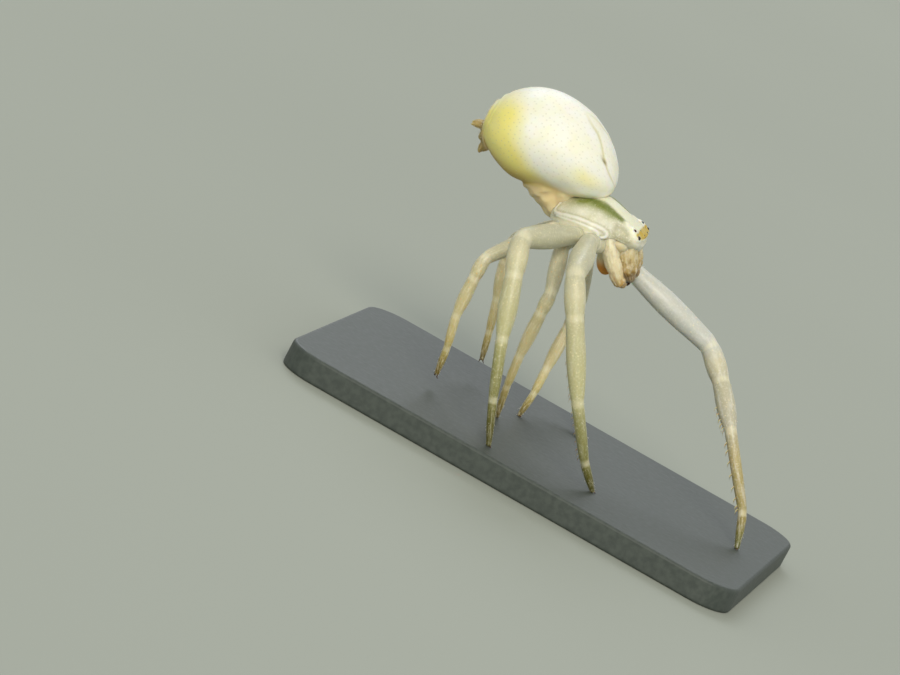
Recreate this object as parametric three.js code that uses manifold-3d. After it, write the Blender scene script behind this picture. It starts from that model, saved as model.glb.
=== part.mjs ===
// Crab spider, female, life size, on a small display base.
// Millimetres. +X is the way the spider heads, +Y its left side, +Z up.
// The origin is the middle of the underside of the base.
// Legs are numbered from the front. Heights in the leg table start at the top of the base.

import * as THREE from 'three';
import Module from 'manifold-3d';
import { mergeVertices } from 'three/addons/utils/BufferGeometryUtils.js';

const wasm = await Module();
wasm.setup();

// Display base: a thin plate with rounded corners.
const BASE_LENGTH = 15.4;
const BASE_WIDTH = 12.0;
const BASE_THICKNESS = 0.8;
const BASE_CORNER = 1.2;
const BASE_CORNER_STEPS = 5;

// The middle of the base lies ahead of the middle of the head part, and a little to its right.
const BASE_CENTRE_X = 1.8;
const BASE_CENTRE_Y = -0.45;

// Gap left where two solids meet, and the least radius of a leg or feeler.
const CUT = 0.02;
const LEAST_RADIUS = 0.25;

// Head part (prosoma): where its middle is, and how it is pitched up and rolled to the right.
const PROSOMA_CENTRE = [-0.065, 0, 6.6];
const PROSOMA_PITCH = 15.5;
const PROSOMA_ROLL = 9;
const CARAPACE_HALF_LENGTH = 1.53;
const CARAPACE_HALF_WIDTH = 1.45;
const CARAPACE_HEIGHT = 0.92;
const CARAPACE_RIM_DEPTH = 0.14;
const CARAPACE_BLUNTNESS = 3;
const HEAD_HALF_WIDTH = 0.97;
const HEAD_HEIGHT = 0.12;
const CLYPEUS_DEPTH = 0.76;

// Where along the shell it narrows to the head, starts to slope down, and deepens to the
// clypeus: -1 is its rear tip and 1 its front tip.
const HEAD_NARROWS = [-0.05, 0.5];
const SLOPE_STARTS = 0.08;
const SLOPE_BULGE = 1.25;
const CLYPEUS_DEEPENS = [0.4, 0.85];

// Abdomen: an egg, stout behind and slimmer in front, carried over the head part.
const ABDOMEN_CENTRE = [-2.46, 0, 8.14];
const ABDOMEN_PITCH = 2;
const ABDOMEN_ROLL = 12;
const ABDOMEN_HALF_LENGTH = 2.26;
const ABDOMEN_HALF_HEIGHT = 1.38;
const ABDOMEN_SLIMMING = 0.24;
const ABDOMEN_WIDTH_TO_HEIGHT = 1.23;
const ABDOMEN_ARCH = 0.09;
const ABDOMEN_REAR_SAG = 0.2;
const ABDOMEN_FRONT_SAG = 0.5;
const ABDOMEN_BLUNTNESS = 2.2;

// The belly is fuller than the egg: by how much, where along it, and how far that reaches.
const BELLY_FULLNESS = 0.16;
const BELLY_AT = -0.3;
const BELLY_REACH = 0.5;

// Waist between the two: slim at the head part, flaring into the belly of the abdomen.
const WAIST = [[-1.28, 0, 6.3], [-1.6, 0, 6.47], [-2.3, 0, 7.3]];
const WAIST_RADII = [[0.28, 0.33, 0.36], [0.4, 0.66, 0.88]];

// Spinnerets, in the abdomen's own frame: root, tip, radius at the root. The taper gives the
// radius at root, middle and tip as shares of that.
const SPINNERET_TAPER = [1, 0.8, 0.55];
const SPINNERETS = {
  upper: { root: [-2.1, 0.13, -0.42], tip: [-2.58, 0.14, -0.62], radius: 0.17 },
  lower: { root: [-1.82, 0.15, -0.8], tip: [-2.03, 0.17, -1.24], radius: 0.2 },
};

// Eyes in the head part's frame: place along the shell (0 middle, 1 front tip), angle up
// from the side of the shell, radius, and radius of the mound the eye stands on.
const EYES = {
  posterior_lateral: { along: 0.78, angle: 48, radius: 0.085, mound: 0.15 },
  anterior_lateral: { along: 0.895, angle: 22, radius: 0.09, mound: 0.15 },
  posterior_median: { along: 0.87, angle: 73, radius: 0.055, mound: 0 },
  anterior_median: { along: 0.965, angle: 62, radius: 0.055, mound: 0 },
};

// An eye looks ahead and outwards. Its middle stands this share of its radius out of the shell,
// and its mound's middle is sunk by this share of the mound's radius.
const EYE_AHEAD = 0.8;
const EYE_OUTWARD = 0.5;
const EYE_RISE = 0.3;
const MOUND_SUNK = 0.6;

// Jaws, fangs and feelers in the head part's frame, given for the left side.
const JAW = { root: [1.11, 0.335, -0.46], tip: [1.31, 0.31, -1.2], radii: [0.32, 0.325, 0.27] };
const FANG = { root: [1.32, 0.24, -1.45], tip: [1.08, 0.09, -1.65], radii: [0.1, 0.09, 0.05] };
const FEELER = [
  [0.5, 0.6, -0.42],
  [0.66, 0.78, -0.78],
  [0.86, 0.8, -1.1],
  [1.02, 0.7, -1.32],
  [1.24, 0.57, -1.42],
];
const FEELER_RADII = [
  [0.25, 0.27, 0.25], [0.25, 0.25, 0.25], [0.25, 0.26, 0.25], [0.25, 0.25, 0.25],
];

// Breastplate, lip and the two mouth plates in the head part's frame.
const STERNUM = { centre: [-0.1, 0, -0.42], size: [0.78, 0.44, 0.24] };
const LIP = { centre: [0.56, 0, -0.6], size: [0.22, 0.15, 0.3] };
const MOUTH_PLATE = { centre: [0.54, 0.27, -0.9], size: [0.28, 0.2, 0.5] };

// Leg joints: hip, end of the coxa and trochanter, knee, end of the patella, end of the tibia,
// end of the metatarsus, tip. Each is x, y, height above the base. Two feet are off the base.
const LEGS = {
  leg_1_right: [
    [0.34, -0.62, 6.2], [0.08, -1.45, 6.24], [0.56, -4.4, 5.67], [1.2, -4.66, 4.58],
    [2.48, -4.66, 2.37], [3.44, -4.0, 0.76], [4.0, -3.66, 0],
  ],
  leg_2_right: [
    [-0.1, -0.66, 6.12], [-0.42, -1.5, 6.2], [-1.43, -4.2, 5.81], [-1.01, -4.7, 4.79],
    [-0.38, -5.1, 3.02], [0.25, -5.16, 1.27], [0.78, -5.28, 0],
  ],
  leg_3_right: [
    [-0.52, -0.6, 6.02], [-0.62, -1.18, 5.74], [-0.05, -2.6, 4.51], [-0.03, -2.65, 3.84],
    [-0.05, -2.2, 2.3], [-0.03, -1.6, 1.15], [0.04, -0.9, 0],
  ],
  leg_4_right: [
    [-0.9, -0.52, 5.98], [-1.14, -1.22, 5.98], [-2.35, -2.5, 4.43], [-2.34, -2.6, 3.75],
    [-2.31, -2.5, 2.46], [-2.12, -2.2, 1.38], [-2.08, -1.9, 0.49],
  ],
  leg_1_left: [
    [0.38, 0.6, 6.3], [1.18, 1.1, 5.76], [4.53, 1.7, 4.74], [5.39, 1.4, 3.98],
    [6.47, 0.5, 2.94], [8.04, 0.1, 0.97], [8.39, -0.3, 0],
  ],
  leg_2_left: [
    [-0.06, 0.66, 6.3], [-0.06, 1.45, 6.24], [-0.7, 4.0, 4.97], [-0.4, 4.4, 3.85],
    [0.62, 4.4, 1.96], [1.66, 3.5, 0.55], [2.2, 2.5, 0],
  ],
  leg_3_left: [
    [-0.46, 0.62, 6.22], [-0.3, 1.3, 5.86], [0.29, 2.3, 3.75], [0.3, 2.35, 2.92],
    [0.35, 2.0, 1.49], [0.43, 1.5, 0.69], [0.41, 1.0, 0],
  ],
  leg_4_left: [
    [-0.86, 0.52, 6.12], [-1.06, 1.22, 6.04], [-2.59, 2.9, 4.43], [-2.53, 3.0, 3.67],
    [-2.16, 2.9, 2.48], [-1.85, 2.6, 1.5], [-1.63, 2.3, 0.76],
  ],
};

// The named parts of a leg, from joint to joint: coxa and trochanter, femur, patella and tibia,
// metatarsus and tarsus.
const LEG_PARTS = { coxa: [0, 1], femur: [1, 2], tibia: [2, 4], foot: [4, 6] };

// Radii of the leg lengths: near end, middle, far end. The two front pairs are the stout ones.
const STOUT = {
  coxa: [0.27, 0.31, 0.3],
  femur: [0.3, 0.4, 0.31],
  patella: [0.3, 0.33, 0.3],
  tibia: [0.29, 0.32, 0.26],
  metatarsus: [0.25, 0.25, 0.25],
  tarsus: [0.25, 0.25, 0.25],
};
const SLIM = {
  coxa: [0.25, 0.28, 0.27],
  femur: [0.25, 0.28, 0.25],
  patella: [0.25, 0.26, 0.25],
  tibia: [0.25, 0.26, 0.25],
  metatarsus: [0.25, 0.25, 0.25],
  tarsus: [0.25, 0.25, 0.25],
};
const FOOT_SINK = 0.05;

// How a limb is rounded: its domed ends, its corners, and how far it narrows at a joint.
const DOME_RING = 0.72;
const DOME_DEPTH = 1;
const CORNER = 0.28;
const CORNER_SHARE = 0.3;
const JOINT_WAIST = 0.97;
const BLOCK_SIZE = 30;

// Facets round a limb, and round and along the rounded bodies.
const LIMB_SIDES = 8;
const SLIM_SIDES = 7;
const FINE_SIDES = 6;
const BODY_SIDES = 20;
const BODY_RINGS = 13;
const SMALL_SIDES = 8;
const SMALL_RINGS = 6;
const EYE_SIDES = 6;
const EYE_RINGS = 5;

const finish = (color, roughness) => new THREE.MeshStandardMaterial({ color, roughness, metalness: 0 });
const FINISHES = {
  shell: () => finish('#d9dcc0', 0.4),
  abdomen: () => finish('#f3edc9', 0.5),
  waist: () => finish('#cdb79c', 0.5),
  spinneret: () => finish('#dcbfa4', 0.5),
  jaw: () => finish('#cdb595', 0.45),
  fang: () => finish('#5a3420', 0.3),
  feeler: () => finish('#e6d6bd', 0.45),
  eye: () => finish('#120d0a', 0.1),
  leg: () => finish('#dfe2cf', 0.4),
  base: () => finish('#4a4f4c', 0.5),
};

const vec = (point) => new THREE.Vector3(...point);
const mirrored = ([x, y, z], side) => [x, y * side, z];
const { degToRad: degrees, lerp, smoothstep, clamp } = THREE.MathUtils;

// A geometry as a solid that can be joined and cut.
function solidOf(geometry, matrix = new THREE.Matrix4()) {
  const bare = geometry.clone();
  bare.deleteAttribute('normal');
  bare.deleteAttribute('uv');
  const closed = mergeVertices(bare, 1e-4);
  closed.applyMatrix4(matrix);
  return new wasm.Manifold(new wasm.Mesh({
    numProp: 3,
    vertProperties: Float32Array.from(closed.attributes.position.array),
    triVerts: Uint32Array.from(closed.index.array),
  }));
}

function meshOf(name, solid, material) {
  const { vertProperties, triVerts } = solid.getMesh();
  const geometry = new THREE.BufferGeometry();
  geometry.setAttribute('position', new THREE.BufferAttribute(vertProperties, 3));
  geometry.setIndex(new THREE.BufferAttribute(triVerts, 1));
  geometry.computeVertexNormals();
  const mesh = new THREE.Mesh(geometry, material);
  mesh.name = name;
  return mesh;
}

// Matrix of a frame at a place, pitched up and rolled to the right, in the spider's own frame.
function frameAt(place, pitch, roll) {
  const turn = new THREE.Euler(degrees(roll), -degrees(pitch), 0, 'YXZ');
  return new THREE.Matrix4().makeRotationFromEuler(turn).setPosition(...place);
}

const PROSOMA = frameAt(PROSOMA_CENTRE, PROSOMA_PITCH, PROSOMA_ROLL);
const ABDOMEN = frameAt(ABDOMEN_CENTRE, ABDOMEN_PITCH, ABDOMEN_ROLL);

// Point on a rounded body: t runs from -1 at the rear tip to 1 at the front tip, and the angle
// runs round it from its left side over the top. Shape gives the half-sizes at t.
function bodyPoint(shape, t, angle, grow = 0) {
  const power = t > 0 ? shape.frontPower : 2;
  const closing = Math.pow(1 - Math.pow(Math.min(1, Math.abs(t)), power), 1 / power);
  const rise = Math.sin(angle) > 0 ? shape.top(t) : shape.bottom(t);
  return new THREE.Vector3(
    (shape.halfLength + grow) * t,
    (shape.width(t) * closing + grow * closing) * Math.cos(angle),
    (rise * closing + grow * closing) * Math.sin(angle) + shape.lift(t),
  );
}

function bodySolid(shape, sides, rings, grow = 0) {
  const ball = new THREE.SphereGeometry(1, sides, rings);
  const places = ball.attributes.position;
  for (let i = 0; i < places.count; i += 1) {
    const t = clamp(places.getY(i), -1, 1);
    const angle = Math.atan2(places.getX(i), places.getZ(i));
    const point = bodyPoint(shape, t, angle, grow);
    places.setXYZ(i, point.x, point.y, point.z);
  }
  return solidOf(ball);
}

function ellipsoid({ centre, size }, sides = SMALL_SIDES, rings = SMALL_RINGS) {
  const ball = new THREE.SphereGeometry(1, sides, rings);
  ball.scale(...size);
  ball.translate(...centre);
  return solidOf(ball);
}

// Rings of a limb that runs through its joints. Each length has a near, middle and far radius.
// A bend is rounded by a ring on each side of its joint, and both ends of the limb are domes.
function limbRings(joints, lengthRadii) {
  const points = joints.map(vec);
  const ways = points.slice(1).map((point, i) => point.clone().sub(points[i]).normalize());
  const firstRadius = lengthRadii[0][0];
  const lastRadius = lengthRadii.at(-1)[2];
  const last = points.length - 1;
  const ring = (centre, way, radius) => ({ centre, way, radius });
  const off = (point, way, distance) => point.clone().addScaledVector(way, distance);
  const rings = [
    ring(off(points[0], ways[0], -DOME_DEPTH * firstRadius), ways[0], 0),
    ring(off(points[0], ways[0], -DOME_RING * firstRadius), ways[0], DOME_RING * firstRadius),
    ring(points[0], ways[0], firstRadius),
  ];
  ways.forEach((way, i) => {
    const [near, middle, far] = lengthRadii[i];
    rings.push(ring(points[i].clone().lerp(points[i + 1], 0.5), way, middle));
    if (i + 1 === last) return;
    const next = ways[i + 1];
    const after = points[i + 2].distanceTo(points[i + 1]);
    const before = points[i + 1].distanceTo(points[i]);
    const corner = Math.min(CORNER, CORNER_SHARE * before, CORNER_SHARE * after);
    const start = off(points[i + 1], way, -corner);
    const end = off(points[i + 1], next, corner);
    const inside = start.clone().add(end).multiplyScalar(0.5).lerp(points[i + 1], 0.5);
    const joint = Math.min(far, lengthRadii[i + 1][0]) * JOINT_WAIST;
    rings.push(ring(start, way, far));
    rings.push(ring(inside, way.clone().add(next).normalize(), joint));
    rings.push(ring(end, next, lengthRadii[i + 1][0]));
  });
  const lastWay = ways[last - 1];
  rings.push(ring(points[last], lastWay, lastRadius));
  rings.push(ring(off(points[last], lastWay, DOME_RING * lastRadius), lastWay, DOME_RING * lastRadius));
  rings.push(ring(off(points[last], lastWay, DOME_DEPTH * lastRadius), lastWay, 0));
  return rings;
}

// A limb as one closed solid, its facets carried along from ring to ring without twist.
function limbSolid(joints, lengthRadii, grow = 0, sides = LIMB_SIDES) {
  const rings = limbRings(joints, lengthRadii);
  const profile = rings.map(({ radius }, i) => new THREE.Vector2(radius > 0 ? radius + grow : 0, i));
  const lathe = new THREE.LatheGeometry(profile, sides);
  const turn = new THREE.Quaternion();
  const up = new THREE.Vector3(0, 1, 0);
  const turns = rings.map(({ way }) => {
    turn.premultiply(new THREE.Quaternion().setFromUnitVectors(up, way));
    up.copy(way);
    return turn.clone();
  });
  const places = lathe.attributes.position;
  for (let i = 0; i < places.count; i += 1) {
    const at = Math.round(places.getY(i));
    const out = new THREE.Vector3(places.getX(i), 0, places.getZ(i)).applyQuaternion(turns[at]);
    out.add(rings[at].centre);
    places.setXYZ(i, out.x, out.y, out.z);
  }
  return solidOf(lathe);
}

// A block that fills the space beyond a plane, to cut a limb off square at a joint.
function blockBeyond(point, normal) {
  const turn = new THREE.Quaternion().setFromUnitVectors(new THREE.Vector3(0, 0, 1), normal);
  const centre = point.clone().addScaledVector(normal, BLOCK_SIZE / 2 - CUT / 2);
  const matrix = new THREE.Matrix4().compose(centre, turn, new THREE.Vector3(1, 1, 1));
  return solidOf(new THREE.BoxGeometry(BLOCK_SIZE, BLOCK_SIZE, BLOCK_SIZE), matrix);
}

// The direction halfway between the two lengths that meet at joint i.
function bend(joints, i) {
  const before = vec(joints[i]).sub(vec(joints[i - 1])).normalize();
  const after = vec(joints[i + 1]).sub(vec(joints[i])).normalize();
  return before.add(after).normalize();
}

// The part of a limb between joints from and to, parted from its neighbours by thin cuts.
function limbPart(limb, joints, from, to) {
  let part = limb;
  if (from > 0) part = part.subtract(blockBeyond(vec(joints[from]), bend(joints, from).negate()));
  if (to + 1 < joints.length) part = part.subtract(blockBeyond(vec(joints[to]), bend(joints, to)));
  return part;
}

// Shell of the head part: a dome, with a narrower, blunt head in front.
const carapaceShape = {
  halfLength: CARAPACE_HALF_LENGTH,
  frontPower: CARAPACE_BLUNTNESS,
  width: (t) => lerp(CARAPACE_HALF_WIDTH, HEAD_HALF_WIDTH, smoothstep(t, ...HEAD_NARROWS)),
  top: (t) => lerp(CARAPACE_HEIGHT, HEAD_HEIGHT, Math.max(0, t - SLOPE_STARTS) ** SLOPE_BULGE),
  bottom: (t) => lerp(CARAPACE_RIM_DEPTH, CLYPEUS_DEPTH, smoothstep(t, ...CLYPEUS_DEEPENS)),
  lift: () => 0,
};

const abdomenShape = {
  halfLength: ABDOMEN_HALF_LENGTH,
  frontPower: ABDOMEN_BLUNTNESS,
  width: (t) => (ABDOMEN_HALF_HEIGHT - ABDOMEN_SLIMMING * t) * ABDOMEN_WIDTH_TO_HEIGHT,
  top: (t) => ABDOMEN_HALF_HEIGHT - ABDOMEN_SLIMMING * t,
  bottom: (t) => ABDOMEN_HALF_HEIGHT - ABDOMEN_SLIMMING * t
    + BELLY_FULLNESS * (1 - smoothstep(Math.abs(t - BELLY_AT), 0, BELLY_REACH)),
  lift: (t) => ABDOMEN_ARCH - (t > 0 ? ABDOMEN_FRONT_SAG : ABDOMEN_REAR_SAG) * t * t,
};

// Place of an eye on the shell, or the given distance out from it.
function eyePlace({ along, angle }, side, out = 0) {
  const left = bodyPoint(carapaceShape, along, degrees(angle));
  const turn = degrees(angle);
  const look = vec([EYE_AHEAD, EYE_OUTWARD * Math.cos(turn), EYE_OUTWARD * Math.sin(turn)]);
  left.addScaledVector(look.normalize(), out);
  return [left.x, left.y * side, left.z];
}

function ballAt(place, radius) {
  return ellipsoid({ centre: place, size: [radius, radius, radius] }, EYE_SIDES, EYE_RINGS);
}

function carapace() {
  let shell = bodySolid(carapaceShape, BODY_SIDES, BODY_RINGS);
  for (const side of [1, -1]) {
    for (const eye of Object.values(EYES).filter(({ mound }) => mound > 0)) {
      shell = shell.add(ballAt(eyePlace(eye, side, -MOUND_SUNK * eye.mound), eye.mound));
    }
  }
  return shell;
}

function abdomen() {
  return bodySolid(abdomenShape, BODY_SIDES, BODY_RINGS);
}

// Everything is gathered here as solid, finish and frame, in the order in which pieces make room.
const pieces = {};
const put = (name, solid, material) => {
  pieces[name] = { solid, material };
};

// The solid with room cut out of it for each of the others.
const clearOf = (solid, others) => others.reduce((left, other) => left.subtract(other), solid);

const shell = carapace().transform(PROSOMA.elements);
const shellRoom = bodySolid(carapaceShape, BODY_SIDES, BODY_RINGS, CUT).transform(PROSOMA.elements);
const egg = clearOf(abdomen().transform(ABDOMEN.elements), [shellRoom]);
const eggRoom = bodySolid(abdomenShape, BODY_SIDES, BODY_RINGS, CUT).transform(ABDOMEN.elements);
put('carapace', shell, FINISHES.shell());
put('abdomen', egg, FINISHES.abdomen());

const inProsoma = (point) => vec(point).applyMatrix4(PROSOMA).toArray();
const inAbdomen = (point) => vec(point).applyMatrix4(ABDOMEN).toArray();

for (const [side, sideName] of [[1, 'left'], [-1, 'right']]) {
  for (const [eyeName, eye] of Object.entries(EYES)) {
    const ball = ballAt(inProsoma(eyePlace(eye, side, EYE_RISE * eye.radius)), eye.radius);
    put(`eye_${eyeName}_${sideName}`, clearOf(ball, [shell]), FINISHES.eye());
  }
}

const placedIn = (frame, { centre, size }) => ellipsoid({ centre, size }).transform(frame.elements);
const sideOf = ({ centre, size }, side) => ({ centre: mirrored(centre, side), size });
const mouthPlates = [1, -1].map((side) => placedIn(PROSOMA, sideOf(MOUTH_PLATE, side)));
const breast = [placedIn(PROSOMA, LIP), ...mouthPlates]
  .reduce((joined, next) => joined.add(next), placedIn(PROSOMA, STERNUM));
put('sternum', clearOf(breast, [shellRoom]), FINISHES.feeler());

const waist = limbSolid(WAIST, WAIST_RADII);
put('pedicel', clearOf(waist, [shellRoom, eggRoom, pieces.sternum.solid]), FINISHES.waist());

for (const [side, sideName] of [[1, 'left'], [-1, 'right']]) {
  for (const [rowName, { root, tip, radius }] of Object.entries(SPINNERETS)) {
    const ends = [root, tip].map((point) => inAbdomen(mirrored(point, side)));
    const finger = limbSolid(ends, [SPINNERET_TAPER.map((share) => share * radius)], 0, FINE_SIDES);
    const others = Object.keys(pieces).filter((name) => name.startsWith('spinneret'));
    const room = others.map((name) => pieces[name].solid);
    put(`spinneret_${rowName}_${sideName}`, clearOf(finger, [eggRoom, ...room]), FINISHES.spinneret());
  }
}

for (const [side, sideName] of [[1, 'left'], [-1, 'right']]) {
  const atSide = (point) => inProsoma(mirrored(point, side));
  const jawEnds = [JAW.root, JAW.tip].map(atSide);
  const jaw = clearOf(limbSolid(jawEnds, [JAW.radii]), [shellRoom, pieces.sternum.solid]);
  const jawRoom = limbSolid(jawEnds, [JAW.radii], CUT);
  put(`chelicera_${sideName}`, jaw, FINISHES.jaw());
  const fang = limbSolid([FANG.root, FANG.tip].map(atSide), [FANG.radii], 0, FINE_SIDES);
  put(`fang_${sideName}`, clearOf(fang, [jawRoom]), FINISHES.fang());
  const feeler = limbSolid(FEELER.map(atSide), FEELER_RADII, 0, FINE_SIDES);
  const room = [shellRoom, jawRoom, pieces.sternum.solid];
  put(`pedipalp_${sideName}`, clearOf(feeler, room), FINISHES.feeler());
}

// Display base, with its top at height 0 of the leg table.
function baseSolid() {
  const halfLength = BASE_LENGTH / 2;
  const halfWidth = BASE_WIDTH / 2;
  const outline = new THREE.Shape();
  outline.absarc(halfLength - BASE_CORNER, halfWidth - BASE_CORNER, BASE_CORNER, 0, Math.PI / 2);
  outline.absarc(BASE_CORNER - halfLength, halfWidth - BASE_CORNER, BASE_CORNER, Math.PI / 2, Math.PI);
  outline.absarc(BASE_CORNER - halfLength, BASE_CORNER - halfWidth, BASE_CORNER, Math.PI, 1.5 * Math.PI);
  outline.absarc(halfLength - BASE_CORNER, BASE_CORNER - halfWidth, BASE_CORNER, 1.5 * Math.PI, 2 * Math.PI);
  const plate = new THREE.ExtrudeGeometry(outline, {
    depth: BASE_THICKNESS, bevelEnabled: false, curveSegments: BASE_CORNER_STEPS,
  });
  plate.translate(BASE_CENTRE_X, BASE_CENTRE_Y, -BASE_THICKNESS);
  return solidOf(plate);
}

const base = baseSolid();
put('stand_base', base, FINISHES.base());

// Legs. Each makes room for the shell, the mouthparts and the legs before it.
const inTheWay = Object.keys(pieces).filter((name) => /sternum|pedicel|chelicera|pedipalp/.test(name));
const bodyRoom = inTheWay.map((name) => pieces[name].solid);
const floorRoom = blockBeyond(vec([0, 0, CUT / 2]), vec([0, 0, -1]));
const earlier = [];
for (const [legName, table] of Object.entries(LEGS)) {
  const stout = /_[12]_/.test(legName);
  const radii = Object.values(stout ? STOUT : SLIM);
  const sides = stout ? LIMB_SIDES : SLIM_SIDES;
  const lifted = table[6][2] > 0 ? 0 : LEAST_RADIUS - FOOT_SINK;
  const tip = [table[6][0], table[6][1], table[6][2] + lifted];
  const joints = [...table.slice(0, 6), tip];
  const whole = limbSolid(joints, radii, 0, sides);
  const leg = clearOf(whole, [shellRoom, eggRoom, floorRoom, ...bodyRoom, ...earlier]);
  for (const [partName, [from, to]] of Object.entries(LEG_PARTS)) {
    put(`${legName}_${partName}`, limbPart(leg, joints, from, to), FINISHES.leg());
  }
  earlier.push(limbSolid(joints, radii, CUT, sides));
}

// The whole spider stands on its base, with the origin in the middle of the base's underside.
const group = new THREE.Group();
group.position.set(-BASE_CENTRE_X, -BASE_CENTRE_Y, BASE_THICKNESS);
for (const [name, { solid, material }] of Object.entries(pieces)) {
  group.add(meshOf(name, solid, material));
}

export default group;
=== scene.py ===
# %% [markdown]
# # A white crab spider on its display base
#
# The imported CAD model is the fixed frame. Every piece below is modelled in millimetres around the
# spider, then shrunk to metres and set over the CAD solids it stands for. The spider is a living
# animal: a clear, waxy cuticle over pale flesh, with hardly any hair. So the work goes into smooth
# skins with folds and creases in the mesh, and into materials that let light in.

# %% Load the frame
import math
import random

import bmesh
import bpy
from mathutils import Matrix, Vector, noise
from mathutils.kdtree import KDTree


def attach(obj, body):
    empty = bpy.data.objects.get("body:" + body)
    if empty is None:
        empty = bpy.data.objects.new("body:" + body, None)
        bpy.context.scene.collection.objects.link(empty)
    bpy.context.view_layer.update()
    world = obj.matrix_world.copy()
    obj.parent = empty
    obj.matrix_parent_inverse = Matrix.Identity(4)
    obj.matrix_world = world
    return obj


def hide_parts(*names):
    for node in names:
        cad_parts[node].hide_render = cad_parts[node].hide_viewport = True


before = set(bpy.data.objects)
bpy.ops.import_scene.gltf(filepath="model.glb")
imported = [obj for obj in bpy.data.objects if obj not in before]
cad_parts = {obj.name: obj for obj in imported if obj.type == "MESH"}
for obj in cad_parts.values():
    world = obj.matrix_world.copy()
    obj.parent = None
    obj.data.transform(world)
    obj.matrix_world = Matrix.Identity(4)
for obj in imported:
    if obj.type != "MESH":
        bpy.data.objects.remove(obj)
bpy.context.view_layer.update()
print("CAD nodes:", len(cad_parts))

# %% [markdown]
# ## Measures
#
# The spider's own frame has its origin on top of the base, x ahead, y to its left and z up. The
# head part and the abdomen each have a tilted frame of their own, because the spider rolls to its
# right and lifts its head. A matrix for each frame keeps every later place easy to say.

# %% Frames of the body
MM = 0.001
HOME = Vector((-1.8, 0.45, 0.8))


def tilted(centre, pitch, roll):
    """A frame at a place, pitched up and rolled to the right, in degrees."""
    turn = Matrix.Rotation(math.radians(-pitch), 4, "Y") @ Matrix.Rotation(math.radians(roll), 4, "X")
    return Matrix.Translation(centre) @ turn


PROSOMA = tilted((-0.065, 0, 6.6), 15.5, 9)
ABDOMEN = tilted((-2.46, 0, 8.14), 2, 12)


def mix(a, b, share):
    return a + (b - a) * share


def smooth(low, high, x):
    """0 below low, 1 above high and an even curve between; high may lie below low."""
    x = min(1, max(0, (x - low) / (high - low)))
    return x * x * (3 - 2 * x)


def bell(x, centre, width):
    return math.exp(-(((x - centre) / width) ** 2))


print("head part at", PROSOMA.translation[:], "abdomen at", ABDOMEN.translation[:])

# %% [markdown]
# ## Handling pieces
#
# Operators act on whatever is selected, so each primitive starts from nothing selected. A finished
# piece has its place in its mesh and its object at the origin, as the CAD nodes have.

# %% Helpers for pieces


def deselect():
    bpy.ops.object.select_all(action="DESELECT")


def choose(piece):
    """Selects one piece alone."""
    deselect()
    bpy.context.view_layer.objects.active = piece
    piece.select_set(True)


def made(name):
    """Names the object that an operator has just added."""
    piece = bpy.context.object
    piece.name = piece.data.name = name
    return piece


def apply_modifier(piece, kind, **settings):
    choose(piece)
    modifier = piece.modifiers.new(kind.title(), kind)
    for key, value in settings.items():
        setattr(modifier, key, value)
    bpy.ops.object.modifier_apply(modifier=modifier.name)


def outward(piece):
    """Turns every face outwards."""
    choose(piece)
    bpy.ops.object.mode_set(mode="EDIT")
    bpy.ops.mesh.select_all(action="SELECT")
    bpy.ops.mesh.normals_make_consistent(inside=False)
    bpy.ops.object.mode_set(mode="OBJECT")


def joined(name, pieces):
    deselect()
    for piece in pieces:
        piece.select_set(True)
    bpy.context.view_layer.objects.active = pieces[0]
    bpy.ops.object.join()
    return made(name)


def hand_over(piece, material, slot, *nodes):
    """Sets a millimetre piece over the CAD nodes it stands for, in metres, with its material."""
    piece.data.transform(Matrix.Scale(MM, 4) @ Matrix.Translation(HOME))
    piece.data.materials.clear()
    piece.data.materials.append(material)
    piece.data.polygons.foreach_set("use_smooth", [True] * len(piece.data.polygons))
    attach(piece, "root")
    if nodes:
        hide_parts(*nodes)
    print(piece.name, "faces:", len(piece.data.polygons))
    return piece


# %% [markdown]
# ## Materials: one way to add a node
#
# Colours are sRGB hex values, as a painter's swatch would be read, and turn linear in one function.
# One small function adds any node: a setting is a property, a socket or another node to link. The
# few recipes after it join several nodes that come together in every finish.

# %% Colour and node helpers


def linear(swatch):
    parts = [int(swatch[i:i + 2], 16) / 255 for i in (1, 3, 5)]
    return (*[c / 12.92 if c <= 0.04045 else ((c + 0.055) / 1.055) ** 2.4 for c in parts], 1.0)


def add(tree, kind, settings):
    """Adds a node. A value that is a node or socket is linked, and a swatch becomes a colour."""
    new = tree.nodes.new("ShaderNode" + kind)
    for key, value in settings.items():
        if key == "stops":
            while len(new.color_ramp.elements) < len(value):
                new.color_ramp.elements.new(0.5)
            for stop, (place, colour) in zip(new.color_ramp.elements, value):
                stop.position = place
                stop.color = linear(colour)
            continue
        if isinstance(key, str) and hasattr(new, key):
            setattr(new, key, value)
            continue
        socket = new.inputs[key] if isinstance(key, int) else next(
            s for s in new.inputs if s.name == key and s.enabled)
        if isinstance(value, bpy.types.Node):
            value = next(s for s in value.outputs if s.enabled)
        if isinstance(value, bpy.types.NodeSocket):
            tree.links.new(value, socket)
        else:
            socket.default_value = linear(value) if isinstance(value, str) else value
    return new


def new_material(name, **sockets):
    """A material and its tree, with the principled shader's own sockets set."""
    material = bpy.data.materials.new(name)
    material.use_nodes = True
    shader = material.node_tree.nodes["Principled BSDF"]
    for key, value in sockets.items():
        socket = shader.inputs[key.replace("_", " ")]
        socket.default_value = linear(value) if isinstance(value, str) else value
    return material, material.node_tree


def connect(tree, **sources):
    """Links nodes to the principled shader's sockets."""
    shader = tree.nodes["Principled BSDF"]
    for key, source in sources.items():
        if isinstance(source, bpy.types.Node):
            source = next(s for s in source.outputs if s.enabled)
        tree.links.new(source, shader.inputs[key.replace("_", " ")])


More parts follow.
